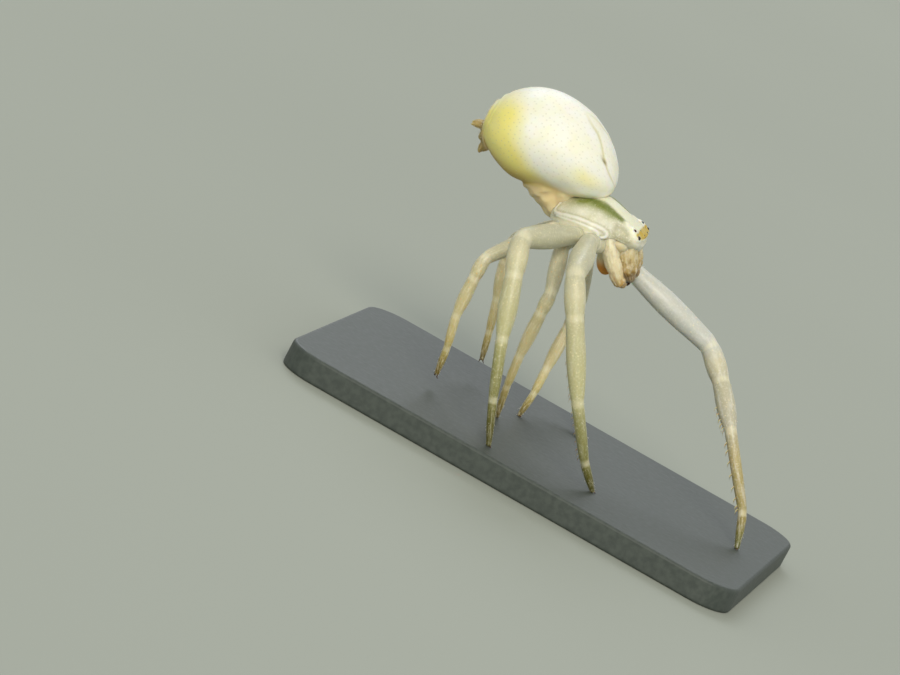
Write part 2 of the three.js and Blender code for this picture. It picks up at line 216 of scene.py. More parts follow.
def mottled(tree, per_mm, stops, detail=2.0):
    """A noise with so many patches to the millimetre, and the colours it gives."""
    spot = add(tree, "TexCoord", {}).outputs["Object"]
    patches = add(tree, "TexNoise", {"Vector": spot, "Scale": per_mm / MM, "Detail": detail})
    return patches, add(tree, "ValToRGB", {"Fac": patches, "stops": stops})


def grained(tree, per_mm, strength, depth):
    """A noise with so many grains to the millimetre, and the bump it gives, in millimetres."""
    spot = add(tree, "TexCoord", {}).outputs["Object"]
    grains = add(tree, "TexNoise", {"Vector": spot, "Scale": per_mm / MM, "Detail": 2.0})
    return grains, add(tree, "Bump", {"Height": grains, "Strength": strength, "Distance": depth * MM})


def lay_over(tree, base, colour, pattern, low, high, most, *limits):
    """Lays a colour over another: not at all where the pattern is low, by most where it is high."""
    share = add(tree, "MapRange", {"Value": pattern, "From Min": low, "From Max": high, "To Max": most})
    for limit in limits:
        share = add(tree, "Math", {"operation": "MULTIPLY", 0: share, 1: limit})
    return add(tree, "Mix", {"data_type": "RGBA", "Factor": share, "A": base, "B": colour})


def lay_marks(tree, colour, marks, ragged=()):
    """Lays each painted mark over a colour; a mark with a limit in ragged gets a broken edge."""
    for name, swatch, strength in marks:
        mark = add(tree, "Attribute", {"attribute_name": name}).outputs["Fac"]
        limits = [ragged[name]] if name in ragged else []
        colour = lay_over(tree, colour, swatch, mark, 0.0, 1.0, strength, *limits)
    return colour


# How light travels in living cuticle: it scatters within about half a millimetre, red furthest.
FLESH = dict(Subsurface_Weight=0.75, Subsurface_Radius=(1.0, 0.8, 0.5), Subsurface_Scale=0.35 * MM,
             IOR=1.5, Roughness=0.42)

# %% [markdown]
# ## Camera
#
# The picture shows the spider a little from in front of its right side and from slightly above,
# and leaning by 28 degrees. Here the floor is level, so the camera leans instead. It stands 180 mm away with a long lens, so nothing looks stretched.

# %% Set the camera
CAMERA_ROLL = math.radians(28)
CAMERA_HEIGHT_ANGLE = math.radians(11)
CAMERA_SIDE_ANGLE = math.radians(8)
CAMERA_DISTANCE = 180
SENSOR = 36
LENS = 235.4
HEAD_MIDDLE = Vector((0, 0, 6.55))
HEAD_IN_PICTURE = (4.587, 3.349)

back = Vector((math.sin(CAMERA_SIDE_ANGLE) * math.cos(CAMERA_HEIGHT_ANGLE),
               -math.cos(CAMERA_SIDE_ANGLE) * math.cos(CAMERA_HEIGHT_ANGLE),
               math.sin(CAMERA_HEIGHT_ANGLE)))
level = Vector((math.cos(CAMERA_SIDE_ANGLE), math.sin(CAMERA_SIDE_ANGLE), 0))
upright = back.cross(level)
right = math.cos(CAMERA_ROLL) * level + math.sin(CAMERA_ROLL) * upright
up = -math.sin(CAMERA_ROLL) * level + math.cos(CAMERA_ROLL) * upright
place = HEAD_MIDDLE + HOME - HEAD_IN_PICTURE[0] * right - HEAD_IN_PICTURE[1] * up
place += CAMERA_DISTANCE * back

deselect()
bpy.ops.object.camera_add()
camera = bpy.context.object
camera.name = "camera"
camera.matrix_world = Matrix.Translation(place * MM) @ Matrix((right, up, back)).transposed().to_4x4()
camera.data.sensor_width = SENSOR
camera.data.lens = LENS
camera.data.clip_start = MM
camera.data.clip_end = 20
bpy.context.scene.camera = camera
print("camera at", [round(x, 4) for x in camera.location])

# %% [markdown]
# ## Limbs: a ball drawn out into a tube
#
# A leg is a tube that narrows at each joint and bends there. A UV sphere already is a closed tube
# of rows, so each row is carried to its own ring along the leg. It keeps clean quads, needs no
# caps, and its map runs round and along the leg, which the material uses for streaks and colour.

# %% Rings and limbs
ROUNDING = 0.3
ARC = (0.22, 0.5, 0.78)
STATIONS = (0, 0.12, 0.3, 0.5, 0.7, 0.88, 1)
DOME = tuple(math.radians(angle) for angle in (0, 25, 50, 72))


def limb_rings(joints, radii, pinch=0.9):
    """Rings (place, way, radius, along) through joints, with near, middle and far radii."""
    joints = [Vector(joint) for joint in joints]
    ways = [(b - a).normalized() for a, b in zip(joints, joints[1:])]
    spans = [(b - a).length for a, b in zip(joints, joints[1:])]
    rounds = [0] + [min(ROUNDING, 0.32 * a, 0.32 * b) for a, b in zip(spans, spans[1:])] + [0]
    rings = []
    for i, (near, middle, far) in enumerate(radii):
        start, end = rounds[i] / spans[i], 1 - rounds[i + 1] / spans[i]
        for station in STATIONS:
            share = mix(start, end, station)
            radius = mix(mix(near, middle, smooth(0, 0.5, share)), far, smooth(0.5, 1, share))
            rings.append((joints[i].lerp(joints[i + 1], share), ways[i], radius, i + share))
        if i + 1 < len(radii):
            before = joints[i + 1] - ways[i] * rounds[i + 1]
            after = joints[i + 1] + ways[i + 1] * rounds[i + 1]
            for share in ARC:
                centre = before.lerp(joints[i + 1], share).lerp(joints[i + 1].lerp(after, share), share)
                radius = mix(far, radii[i + 1][0], share) * (pinch if share == 0.5 else 1.02)
                way = ways[i].lerp(ways[i + 1], share).normalized()
                rings.append((centre, way, radius, i + 1 + (share - 0.5) * 0.2))
    first, last = rings[0], rings[-1]
    head = [(first[0] - first[1] * first[2] * math.cos(a), first[1], first[2] * math.sin(a), 0)
            for a in DOME]
    tail = [(last[0] + last[1] * last[2] * math.cos(a), last[1], last[2] * math.sin(a), last[3])
            for a in reversed(DOME)]
    return head + rings + tail


def ring_frames(rings, up):
    """The direction of the back of the limb at each ring, carried along without twist."""
    backs = []
    for _, way, _, _ in rings:
        up = (up - way * up.dot(way)).normalized()
        backs.append(up)
    return backs


def lay_map(piece, around, along):
    """Maps a closed skin by how far round and how far along each of its points lies."""
    layer = piece.data.uv_layers.active or piece.data.uv_layers.new()
    layer.name = "skin_map"
    for face in piece.data.polygons:
        turns = [around[v] for v in face.vertices]
        known = [x for x in turns if x is not None]
        split = max(known) - min(known) > 0.5
        known = [x + 1 if split and x < 0.5 else x for x in known]
        for corner, v in zip(face.loop_indices, face.vertices):
            u = sum(known) / len(known) if around[v] is None else around[v]
            layer.data[corner].uv = (u + 1 if split and u < 0.5 else u, along[v])


def limb(name, rings, sides, up=Vector((0, 0, 1))):
    """A UV sphere whose rows are carried to the rings."""
    rows = len(rings) - 1
    deselect()
    bpy.ops.mesh.primitive_uv_sphere_add(segments=sides, ring_count=rows, radius=1)
    piece = made(name)
    backs = ring_frames(rings, up)
    around, along = [], []
    for v in piece.data.vertices:
        row = round(math.acos(max(-1, min(1, v.co.z))) / math.pi * rows)
        turn = math.atan2(v.co.y, v.co.x)
        centre, way, radius, share = rings[row]
        side = (-way).cross(backs[row])
        around.append(None if row in (0, rows) else (turn / math.tau + 0.5) % 1)
        along.append(share / rings[-1][3])
        v.co = centre + radius * (math.cos(turn) * backs[row] + math.sin(turn) * side)
    lay_map(piece, around, along)
    outward(piece)
    apply_modifier(piece, "SUBSURF", levels=1, render_levels=1)
    return piece


# %% [markdown]
# ## Hairs
#
# Up close the cuticle carries short, sparse, clear hairs that lean towards the tips of the legs.
# The real ones are a few hundredths of a millimetre thick. Each is a three-sided spike with one
# bend, so hundreds cost little. They are joined into one mesh for each skin, and each hair's patch
# on the bake map lies where its root does.

# %% Make a coat of hairs
PATCH = 0.0015
HAIR_THICKNESS = 0.008
KNEE = 0.45


def hair_coat(name, roots, material, slot):
    """A mesh of spikes; each root is (place, out, lie, length, thickness, map place)."""
    points, faces, patches = [], [], []
    for base, out, lie, length, thickness, spot in roots:
        first = (out * 0.8 + lie * 0.6).normalized()
        last = (out * 0.35 + lie).normalized()
        side = first.cross(out if abs(first.dot(out)) < 0.95 else Vector((0.3, 0.8, 0.5))).normalized()
        other = first.cross(side)
        knee = base + first * length * KNEE
        start = len(points)
        for centre, radius in ((base, thickness / 2), (knee, thickness * 0.4)):
            points += [centre + radius * (math.cos(turn) * side + math.sin(turn) * other)
                       for turn in (0, math.tau / 3, -math.tau / 3)]
        points.append(knee + last * length * (1 - KNEE))
        for i, j in ((0, 1), (1, 2), (2, 0)):
            faces += [(start + i, start + j, start + 3 + j, start + 3 + i),
                      (start + 3 + i, start + 3 + j, start + 6)]
        patches.append(spot)
    mesh = bpy.data.meshes.new(name)
    mesh.from_pydata(points, [], faces)
    layer = mesh.uv_layers.new(name="OFBake")
    for face in mesh.polygons:
        u, v = patches[face.index // 6]
        for corner, index in zip(face.loop_indices, face.vertices):
            step = index % 7
            layer.data[corner].uv = (u + PATCH * (step % 3 - 1), v + PATCH * (step // 3 - 1))
    piece = bpy.data.objects.new(name, mesh)
    bpy.context.scene.collection.objects.link(piece)
    outward(piece)
    return hand_over(piece, material, slot)


def limb_roots(rings, count, length, thickness, seed, low=0.4, up=Vector((0, 0, 1))):
    """Roots strewn over a limb beyond the ring where it leaves the body."""
    dice = random.Random(seed)
    backs = ring_frames(rings, up)
    whole = rings[-1][3]
    reach = [i for i in range(len(rings) - 1) if rings[i][3] >= low and rings[i + 1][2] > 0.02]
    weights = [(rings[i + 1][0] - rings[i][0]).length * rings[i][2] for i in reach]
    roots = []
    for i in dice.choices(reach, weights, k=count):
        share, turn = dice.random(), dice.uniform(-math.pi, math.pi)
        centre, way, radius, along = rings[i]
        ahead = rings[i + 1]
        way, back_way = way.lerp(ahead[1], share).normalized(), backs[i].lerp(backs[i + 1], share)
        out = (math.cos(turn) * back_way + math.sin(turn) * (-way).cross(back_way)).normalized()
        base = centre.lerp(ahead[0], share) + out * (mix(radius, ahead[2], share) * 0.95)
        spot = ((turn / math.tau + 0.5) % 1, mix(along, ahead[3], share) / whole)
        size = length * dice.uniform(0.6, 1.3)
        roots.append((base, out, way, size, thickness * dice.uniform(0.8, 1.2), spot))
    return roots


# %% [markdown]
# ### Hair and claw finishes
#
# Hair of a pale spider is clear, unpigmented chitin, which reads as white against the body. Claws
# and fangs are thick, tanned chitin: hard, dark brown and glossy.

# %% Chitin materials
clear_hair, tree = new_material("clear_chitin_hair", Roughness=0.35, IOR=1.55, Subsurface_Weight=0.3,
                                Subsurface_Radius=(1, 0.9, 0.7), Subsurface_Scale=0.05 * MM)
connect(tree, Base_Color=mottled(tree, 0.9, [(0.35, "#f4efdc"), (0.7, "#e2d9b4")])[1])

tanned_chitin, tree = new_material("tanned_chitin", Roughness=0.22, IOR=1.56)
connect(tree, Base_Color=mottled(tree, 14, [(0.3, "#2e170c"), (0.75, "#6b3d1e")])[1])
print("chitin:", clear_hair.name, tanned_chitin.name)

# %% [markdown]
# ## Legs
#
# Each leg is one seamless skin over its four CAD nodes. From the body out it has a coxa, a small
# ring called the trochanter, a long femur, a knee or patella, a tibia, a metatarsus and a tarsus.
# The two front pairs, which catch prey, are much the stoutest. The real legs are thinner at the
# ends than the solids, which need half a millimetre to be made.

# %% Leg measures
LEGS = {
    "leg_1_right": [(0.34, -0.62, 6.2), (0.08, -1.45, 6.24), (0.56, -4.4, 5.67), (1.2, -4.66, 4.58),
                    (2.48, -4.66, 2.37), (3.44, -4.0, 0.76), (4.0, -3.66, 0)],
    "leg_2_right": [(-0.1, -0.66, 6.12), (-0.42, -1.5, 6.2), (-1.43, -4.2, 5.81), (-1.01, -4.7, 4.79),
                    (-0.38, -5.1, 3.02), (0.25, -5.16, 1.27), (0.78, -5.28, 0)],
    "leg_3_right": [(-0.52, -0.6, 6.02), (-0.62, -1.18, 5.74), (-0.05, -2.6, 4.51), (-0.03, -2.65, 3.84),
                    (-0.05, -2.2, 2.3), (-0.03, -1.6, 1.15), (0.04, -0.9, 0)],
    "leg_4_right": [(-0.9, -0.52, 5.98), (-1.14, -1.22, 5.98), (-2.35, -2.5, 4.43), (-2.34, -2.6, 3.75),
                    (-2.31, -2.5, 2.46), (-2.12, -2.2, 1.38), (-2.08, -1.9, 0.49)],
    "leg_1_left": [(0.38, 0.6, 6.3), (1.18, 1.1, 5.76), (4.53, 1.7, 4.74), (5.39, 1.4, 3.98),
                   (6.47, 0.5, 2.94), (8.04, 0.1, 0.97), (8.39, -0.3, 0)],
    "leg_2_left": [(-0.06, 0.66, 6.3), (-0.06, 1.45, 6.24), (-0.7, 4.0, 4.97), (-0.4, 4.4, 3.85),
                   (0.62, 4.4, 1.96), (1.66, 3.5, 0.55), (2.2, 2.5, 0)],
    "leg_3_left": [(-0.46, 0.62, 6.22), (-0.3, 1.3, 5.86), (0.29, 2.3, 3.75), (0.3, 2.35, 2.92),
                   (0.35, 2.0, 1.49), (0.43, 1.5, 0.69), (0.41, 1.0, 0)],
    "leg_4_left": [(-0.86, 0.52, 6.12), (-1.06, 1.22, 6.04), (-2.59, 2.9, 4.43), (-2.53, 3.0, 3.67),
                   (-2.16, 2.9, 2.48), (-1.85, 2.6, 1.5), (-1.63, 2.3, 0.76)],
}
# Radii at the near end, middle and far end of each length, from coxa to tarsus.
STOUT = [(0.27, 0.31, 0.3), (0.29, 0.3, 0.28), (0.29, 0.4, 0.32), (0.31, 0.335, 0.3),
         (0.28, 0.31, 0.22), (0.19, 0.18, 0.15), (0.14, 0.13, 0.085)]
SLIM = [(0.25, 0.28, 0.26), (0.25, 0.26, 0.24), (0.23, 0.265, 0.21), (0.205, 0.22, 0.2),
        (0.19, 0.21, 0.16), (0.145, 0.14, 0.12), (0.115, 0.11, 0.075)]
LENGTHS_OF_LEG = len(STOUT)
TROCHANTER_STARTS = 0.68
LEG_SIDES = 20


def leg_rings(name):
    """Rings of a leg; a planted foot is brought down until it touches the base."""
    hip, hip_end, *rest = [Vector(joint) for joint in LEGS[name]]
    radii = STOUT if name[4] in "12" else SLIM
    if rest[-1].z == 0:
        rest[-1].z = radii[-1][2] * 0.8
    return limb_rings([hip, hip.lerp(hip_end, TROCHANTER_STARTS), hip_end, *rest], radii)


# %% [markdown]
# ### The cuticle of the legs
#
# The flesh under the clear cuticle is pale green-cream, with whitish fat granules about 0.06 mm
# across, and it turns olive and golden towards the feet, where the granules thin out. The darkest
# stops at the very tips are partly that olive and partly painted shade. The ramp runs along the
# leg's map, and the streaks are a noise stretched along it.

# %% Leg material


def leg_cuticle(name, stops, granule, fleck, streaky):
    """Cuticle that changes along the leg, with streaks, granules, flecks and pale joints."""
    material, tree = new_material(name, **FLESH, Sheen_Weight=0.25, Sheen_Roughness=0.35,
                                  Sheen_Tint="#f4f2dc")
    map_ = add(tree, "UVMap", {"uv_map": "skin_map"})
    along = add(tree, "SeparateXYZ", {"Vector": map_}).outputs["Y"]
    base = add(tree, "ValToRGB", {"Fac": along, "stops": stops})
    stretched = add(tree, "Mapping", {"Vector": map_, "Scale": (9.0, 14.0, 1.0)})
    streak = add(tree, "TexNoise", {"Vector": stretched, "Scale": 1.6, "Detail": 3.0})
    base = lay_over(tree, base, granule, streak, 0.5, 0.66, streaky)
    thinning = add(tree, "MapRange", {"Value": along, "From Min": 0.75, "From Max": 0.93,
                                      "To Min": 1.0, "To Max": 0.25})
    grains, bump = grained(tree, 16, 0.25, 0.012)
    base = lay_over(tree, base, granule, grains, 0.5, 0.72, 0.35, thinning)
    spot = add(tree, "TexCoord", {}).outputs["Object"]
    flecks = add(tree, "TexVoronoi", {"Vector": spot, "Scale": 6.5 / MM, "Randomness": 1.0})
    base = lay_over(tree, base, fleck, flecks, 0.22, 0.1, 0.6, thinning)
    lengths = add(tree, "Math", {"operation": "MULTIPLY", 0: along, 1: float(LENGTHS_OF_LEG)})
    from_joint = add(tree, "Math", {"operation": "PINGPONG", 0: lengths, 1: 0.5})
    before_tip = add(tree, "MapRange", {"Value": along, "From Min": 0.95, "From Max": 0.93})
    base = lay_over(tree, base, "#f1ecd2", from_joint, 0.06, 0.015, 0.4, before_tip)
    connect(tree, Base_Color=base, Normal=bump)
    return material


# In each ramp the last, darkest stops at the tip are partly the foot's own olive and partly painted shade.
front_leg = leg_cuticle("clear_cuticle_front_leg", [
    (0.0, "#d3d0b4"), (0.28, "#c3c1a6"), (0.42, "#c2c0a4"), (0.5, "#d2cdac"), (0.57, "#c6c29c"),
    (0.7, "#bfbc8e"), (0.76, "#9c9b68"), (0.84, "#84834c"), (0.92, "#605e1c"), (1.0, "#4c4a0e")],
    "#e8e6d0", "#ebe3c0", 0.2)
# A paler copy of the front-leg cuticle for the first left leg, which stands in full light: its paleness is
# painted light.
lit_copy_front_leg = leg_cuticle("clear_cuticle_lit_copy_front_leg", [
    (0.0, "#d3d0b4"), (0.2, "#c8cac2"), (0.42, "#cbcdc6"), (0.5, "#cfcab0"), (0.57, "#c3bfa5"),
    (0.7, "#bbb7a2"), (0.76, "#b5a876"), (0.88, "#96894c"), (0.95, "#706d2c"), (1.0, "#5c5f26")],
    "#ecebe6", "#efe3c2", 0.35)
hind_leg = leg_cuticle("clear_cuticle_hind_leg", [
    (0.0, "#cfccae"), (0.28, "#c9c6ac"), (0.42, "#c6c2a4"), (0.5, "#cdc6a0"), (0.57, "#c8c098"),
    (0.72, "#d8cd9e"), (0.8, "#d0c38a"), (0.9, "#a89a58"), (0.96, "#86783a"), (1.0, "#6a5d24")],
    "#ede6cc", "#e6bf74", 0.55)
print("leg cuticles:", front_leg.name, lit_copy_front_leg.name, hind_leg.name)

# %% [markdown]
# ### Claws
#
# Each foot ends in two small hooked claws. One claw is a short limb of its own, curved down, and
# the pair stands side by side at the tip.

# %% Build the legs, their claws and hairs
CLAW = ((0, 0), (0.07, 0.015), (0.13, -0.01), (0.16, -0.055))
CLAW_RADII = [(0.022, 0.024, 0.02), (0.02, 0.017, 0.014), (0.014, 0.01, 0.004)]


def claws(name, rings):
    """Two hooks at the end of a leg, in the plane of its way and its back."""
    tip, way, radius, _ = rings[-1]
    back_way = ring_frames(rings, Vector((0, 0, 1)))[-1]
    side = way.cross(back_way)
    pair = []
    for hand in (-1, 1):
        root = tip - way * 0.07 + side * hand * 0.035
        joints = [root + way * ahead + back_way * rise + side * hand * ahead * 0.3
                  for ahead, rise in CLAW]
        pair.append(limb(name, limb_rings(joints, CLAW_RADII, pinch=1), 8, back_way))
    return joined(name, pair)


leg_parts = ("coxa", "femur", "tibia", "foot")
for number, name in enumerate(LEGS):
    rings = leg_rings(name)
    stout = name[4] in "12"
    skin = limb(name + "_skin", rings, LEG_SIDES)
    # The first left leg gets the paler copy of the front-leg cuticle as painted light.
    finish = lit_copy_front_leg if name == "leg_1_left" else front_leg if stout else hind_leg
    hand_over(skin, finish, "leg", *[f"{name}_{part}" for part in leg_parts])
    hand_over(claws(name + "_claws", rings), tanned_chitin, "fang")
    roots = limb_roots(rings, 170 if stout else 130, 0.1, HAIR_THICKNESS, number)
    roots += limb_roots(rings, 26, 0.06, 0.007, 100 + number, low=6.4)
    hair_coat(name + "_hairs", roots, clear_hair, "leg")

# %% [markdown]
# ### Spines of the catching legs
#
# The two front pairs have paired spines along the underside of tibia and metatarsus, with which
# they hold prey. They are the same spike as a hair, only stouter and amber.

# %% Spines
SPINE_LENGTH = 0.26
SPINE_THICKNESS = 0.032
amber_chitin, tree = new_material("amber_chitin_spine", Roughness=0.3, IOR=1.55,
                                  Subsurface_Weight=0.4, Subsurface_Scale=0.08 * MM)
connect(tree, Base_Color=mottled(tree, 2.5, [(0.3, "#c9b274"), (0.7, "#e6d6a4")])[1])

for name in LEGS:
    if name[4] not in "12":
        continue
    rings = leg_rings(name)
    backs = ring_frames(rings, Vector((0, 0, 1)))
    spines = []
    for i, (centre, way, radius, along) in enumerate(rings):
        if not (4.45 < along < 4.95 or 5.1 < along < 5.95) or radius < 0.1:
            continue
        for hand in (-1, 1):
            out = (-backs[i] + hand * 0.55 * way.cross(backs[i])).normalized()
            spot = (0.5 + 0.3 * hand, along / rings[-1][3])
            spines.append((centre + out * radius * 0.9, out, way * 0.9, SPINE_LENGTH, SPINE_THICKNESS, spot))
    hair_coat(name + "_spines", spines, amber_chitin, "leg")

# %% [markdown]
# ## Bodies: an egg with a shape of its own
#
# The carapace and the abdomen are both egg shapes whose width, height and lift change from rear
# to front. A UV sphere lying fore and aft gives every point two numbers, how far forward it is and
# how high round the side, and the shape is a function of those two. Relief such as a rim, a crease
# or a mound is then pushed out along the normals.

# %% Egg helpers


def carapace_size(t):
    """Half width, height above and depth below the rim's plane, and lift, at t from -1 to 1."""
    width = mix(1.45, 0.97, smooth(-0.05, 0.5, t))
    return width, mix(0.92, 0.12, max(0, t - 0.08) ** 1.12), mix(0.14, 0.76, smooth(0.4, 0.85, t)), 0


def abdomen_size(t):
    girth = 1.38 - 0.24 * t
    belly = 0.16 * (1 - smooth(0, 0.5, abs(t + 0.3)))
    return girth * 1.23, girth, girth + belly, 0.09 - (0.5 if t > 0 else 0.2) * t * t


def egg_point(size, half_length, blunt, t, turn):
    """Point of an egg: t from the rear tip to the front, turn from the left side over the top."""
    width, top, bottom, lift = size(t)
    power = blunt if t > 0 else 2
    closing = max(0, 1 - abs(t) ** power) ** (1 / power)
    height = (top if math.sin(turn) > 0 else bottom) * closing * math.sin(turn)
    return Vector((half_length * t, width * closing * math.cos(turn), height + lift))


def egg_place(size, half_length, point):
    """Turns a point in the egg's frame back into t, degrees up from the side, and whole turn."""
    t = max(-0.999, min(0.999, point.x / half_length))
    width, top, bottom, lift = size(t)
    height = point.z - lift
    rise = height / (top if height > 0 else bottom)
    return t, math.degrees(math.atan2(rise, abs(point.y) / width)), math.atan2(rise, point.y / width)


def egg(name, sides, rows, size, half_length, blunt, matrix):
    """A UV sphere lying along the body, shaped into the egg and set in its frame."""
    deselect()
    bpy.ops.mesh.primitive_uv_sphere_add(segments=sides, ring_count=rows, radius=1,
                                         rotation=(0, math.pi / 2, 0))
    bpy.ops.object.transform_apply(rotation=True)
    piece = made(name)
    for v in piece.data.vertices:
        t = max(-1, min(1, v.co.x))
        v.co = matrix @ egg_point(size, half_length, blunt, t, math.atan2(v.co.z, v.co.y))
    outward(piece)
    return piece


def places_on(piece, size, half_length, matrix):
    home = matrix.inverted()
    return [egg_place(size, half_length, home @ v.co) for v in piece.data.vertices]


def push(piece, places, relief):
    """Moves each point along its normal by relief(t, degrees, point), in millimetres."""
    moves = [v.normal * relief(t, degrees, v.co)
             for v, (t, degrees, _) in zip(piece.data.vertices, places)]
    for v, move in zip(piece.data.vertices, moves):
        v.co += move


def paint(piece, places, **marks):
    """Stores marks for the material: each is a function of t, degrees and the point."""
    for name, mark in marks.items():
        layer = piece.data.attributes.new(name, "FLOAT", "POINT")
        layer.data.foreach_set("value", [min(1, max(0, mark(t, degrees, v.co)))
                                         for v, (t, degrees, _) in zip(piece.data.vertices, places)])


def map_egg(piece, places):
    around = [(turn / math.tau + 0.75) % 1 for _, _, turn in places]
    lay_map(piece, around, [(t + 1) / 2 for t, _, _ in places])


# %% [markdown]
# ## Carapace
#
# The shell of the head part is a smooth, clear dome with a thin, doubled white rim that runs back
# along its side and curls down in front of the first leg. Beyond it the softer side wall tucks in.
# In front the head carries the eyes on white mounds, with a gold patch between them.

# %% Carapace places
CARAPACE_HALF_LENGTH = 1.53
CARAPACE_BLUNTNESS = 3
# Where each pair of eyes lies, in t and in degrees up the side, and its radius.
EYES = {
    "posterior_lateral": (0.78, 48, 0.085),
    "anterior_lateral": (0.895, 22, 0.09),
    "posterior_median": (0.87, 73, 0.055),
    "anterior_median": (0.965, 62, 0.055),
}
# How far an eye stands out, as a share of its radius, and the width and height of its mound.
EYE_SEATS = {"lateral": (0.15, 0.13, 0.045), "median": (-0.55, 0.09, 0.015)}
EYE_SHARE = 0.85
MOUND_BEHIND_EYE = 0.012
LIP_OF_EYE = (0.098, 0.03, 0.035)


def shell_point(t, degrees, hand, out=0):
    """A point on the bare shell, or out from it the way an eye looks, left (1) or right (-1)."""
    turn = math.radians(degrees)
    point = egg_point(carapace_size, CARAPACE_HALF_LENGTH, CARAPACE_BLUNTNESS, t, turn)
    point += Vector((0.45, 0.8 * math.cos(turn), 0.5 * math.sin(turn))).normalized() * out
    return PROSOMA @ Vector((point.x, point.y * hand, point.z))


MOUNDS = []
LATERAL_EYES = []
for eye_name, (along, degrees, _) in EYES.items():
    _, width, height = EYE_SEATS[eye_name.split("_")[1]]
    for hand in (1, -1):
        MOUNDS.append((shell_point(along - MOUND_BEHIND_EYE, degrees, hand), width, height))
        if "lateral" in eye_name:
            LATERAL_EYES.append(shell_point(along, degrees, hand))


def line_on_shell(path, hand):
    """A fine chain of points on the shell through the corners of a path."""
    chain = []
    for (t1, degrees1), (t2, degrees2) in zip(path, path[1:]):
        chain += [shell_point(mix(t1, t2, i / 6), mix(degrees1, degrees2, i / 6), hand)
                  for i in range(6)]
    return chain + [shell_point(*path[-1], hand)]


# The outer and the inner white line of the rim, each from the rear to its curl in front.
# The ridge frames the eyes from behind.
PATHS = {
    "outer": [(-0.8, 80), (-0.85, 60), (-0.89, 42), (-0.84, 32), (-0.7, 30), (-0.34, 29), (-0.1, 26),
              (0.1, 22), (0.22, 18), (0.3, 12), (0.32, 6), (0.29, 0), (0.2, -8)],
    "inner": [(-0.8, 24), (-0.65, 22), (-0.35, 21), (-0.05, 18), (0.08, 14.5), (0.15, 10), (0.17, 4),
              (0.14, -3)],
    "ridge": [(0.6, 57), (0.7, 48), (0.79, 34), (0.85, 16), (0.85, -4), (0.9, -18)],
}
LINES = {(name, hand): line_on_shell(path, hand) for name, path in PATHS.items() for hand in (1, -1)}
PROSOMA_HOME = PROSOMA.inverted()


def from_line(chain, point):
    """The distance from a point to the nearest length of a chain."""
    nearest = min(range(len(chain)), key=lambda i: (chain[i] - point).length_squared)
    best = 9.0
    for i in (nearest - 1, nearest):
        if 0 <= i < len(chain) - 1:
            way = chain[i + 1] - chain[i]
            share = min(1, max(0, (point - chain[i]).dot(way) / way.length_squared))
            best = min(best, (chain[i] + way * share - point).length)
    return best


def near_line(name, point, width, away=0):
    """1 on a line of the point's own side, or so far away from it, falling to 0 over a width."""
    hand = 1 if (PROSOMA_HOME @ point).y > 0 else -1
    return bell(from_line(LINES[name, hand], point), away, width)


def rim_lines(point):
    return near_line("outer", point, 0.042), near_line("inner", point, 0.034)


def rim_seams(point):
    """Where fine grooves lie on both sides of the outer white line: the relief sinks them, and their darker
    colour is painted shade.
    """
    return near_line("outer", point, 0.03, away=0.085)


def wall_share(t, degrees):
    """1 on the soft side wall below the rim, 0 on the shell."""
    edge = mix(23, 13, smooth(-0.5, 0.14, t)) - 40 * smooth(0.12, 0.3, t)
    return smooth(0, -6, degrees - edge) * smooth(0.36, 0.26, t)


def green_edge(t):
    """Degrees up the side of the sharp upper edge of the green band."""
    return mix(80, 62, smooth(-0.3, 0.75, t))


def carapace_relief(t, degrees, point):
    """Rims, tucked wall, eye mounds, a groove by the green band, the eye ridge and rough cheeks."""
    outer, inner = rim_lines(point)
    wall = -0.05 * wall_share(t, degrees) * smooth(-0.98, -0.85, t)
    mounds = sum(height * bell((point - spot).length, 0, size) for spot, size, height in MOUNDS)
    reach, width, rise = LIP_OF_EYE
    mounds += sum(rise * bell((point - spot).length, reach, width) for spot in LATERAL_EYES)
    groove = -0.018 * bell(degrees, green_edge(t), 4) * smooth(-0.5, -0.1, t) * smooth(0.62, 0.5, t)
    ridge = 0.03 * near_line("ridge", point, 0.075)
    cheek = smooth(0.36, 0.46, t) * smooth(50, 36, degrees) * (1 - near_line("ridge", point, 0.2))
    rough = noise.noise(point * 8) + 0.6 * noise.noise(point * 17) - 0.5
    uneven = 0.012 * noise.noise(point * 3.1) + 0.03 * cheek * rough
    rims = 0.04 * outer + 0.025 * inner - 0.012 * rim_seams(point)
    return rims + wall + mounds + groove + ridge + uneven


# %% Build the carapace
carapace = egg("carapace_shell", 112, 88, carapace_size, CARAPACE_HALF_LENGTH, CARAPACE_BLUNTNESS,
               PROSOMA)
push(carapace, places_on(carapace, carapace_size, CARAPACE_HALF_LENGTH, PROSOMA), carapace_relief)
apply_modifier(carapace, "SUBSURF", levels=1, render_levels=1)
shell_places = places_on(carapace, carapace_size, CARAPACE_HALF_LENGTH, PROSOMA)
map_egg(carapace, shell_places)


def near_eyes(point, reach):
    return max(bell((point - spot).length, 0, reach) for spot in LATERAL_EYES)


def green_band(t, degrees, point):
    below = degrees - green_edge(t)
    width = mix(36, 17, smooth(0.25, 0.58, t))
    across = smooth(4, -4, below) * smooth(-width, -0.3 * width, below)
    return across * smooth(-0.85, -0.35, t) * smooth(0.64, 0.57, t)


def gold_patch(t, degrees, point):
    edge = mix(0.97, 0.85, smooth(6, 44, degrees))
    return smooth(-0.015, 0.03, t + 0.012 * noise.noise(point * 9) - edge) * smooth(0, 14, degrees)


